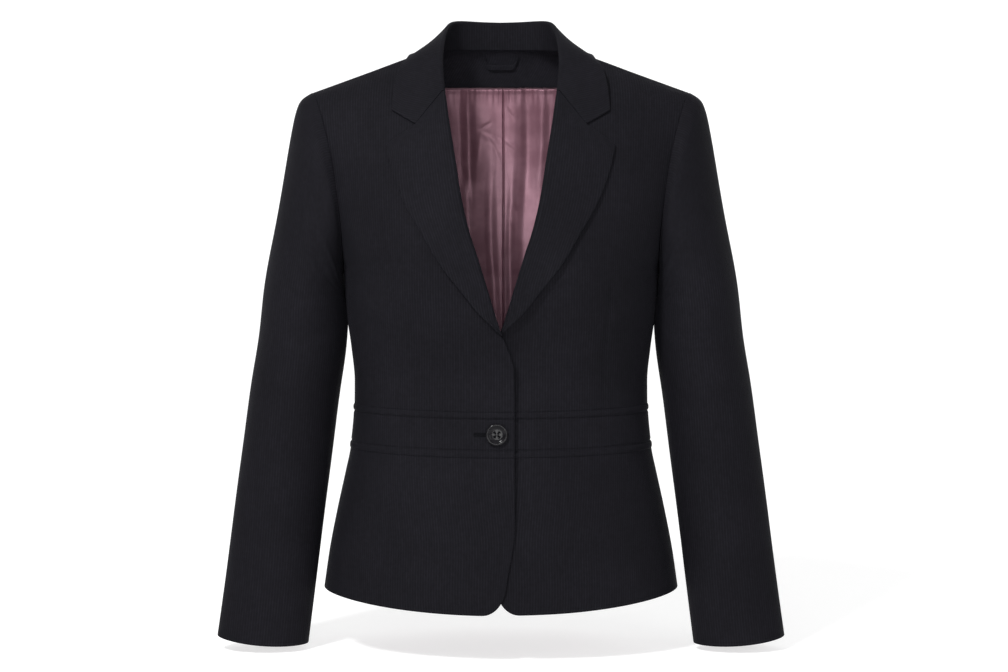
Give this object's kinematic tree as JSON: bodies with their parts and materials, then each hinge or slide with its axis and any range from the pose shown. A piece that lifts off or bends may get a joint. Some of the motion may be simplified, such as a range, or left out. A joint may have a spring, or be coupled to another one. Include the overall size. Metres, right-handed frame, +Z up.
{
  "type": "tailored women's blazer, worn form",
  "caption": "Fitted single-button blazer with notched lapels, a set-in waistband, a flared peplum and two-piece sleeves, hollow as when worn",
  "frame": {"origin": "in the middle of the neck opening, level with the neck ends of the shoulder seams, where the wearer's neck and shoulders carry the blazer", "axes": "+Z up the wearer, -Y the front that buttons, +X the wearer's left"},
  "size_m": [0.616, 0.2469, 0.6813],
  "materials": {
    "suiting": "matt, very fine pinstripe in near-black navy",
    "satin_lining": "satin, dusty mauve",
    "button": "polished black"
  },
  "bodies": {
    "root": {"front_left": "suiting", "front_right": "suiting", "back_left": "suiting", "back_right": "suiting", "waistband_front_left": "suiting", "waistband_front_right": "suiting", "waistband_back": "suiting", "peplum_front_left": "suiting", "peplum_front_right": "suiting", "peplum_back_left": "suiting", "peplum_back_right": "suiting", "lapel_left": "suiting", "lapel_right": "suiting", "collar": "suiting", "sleeve_top_left": "suiting", "sleeve_top_right": "suiting", "sleeve_under_left": "suiting", "sleeve_under_right": "suiting", "back_neck_facing": "suiting", "lining_back_left": "satin_lining", "lining_back_right": "satin_lining", "hanger_loop": "suiting", "button": "button"}
  },
  "joints": []
}
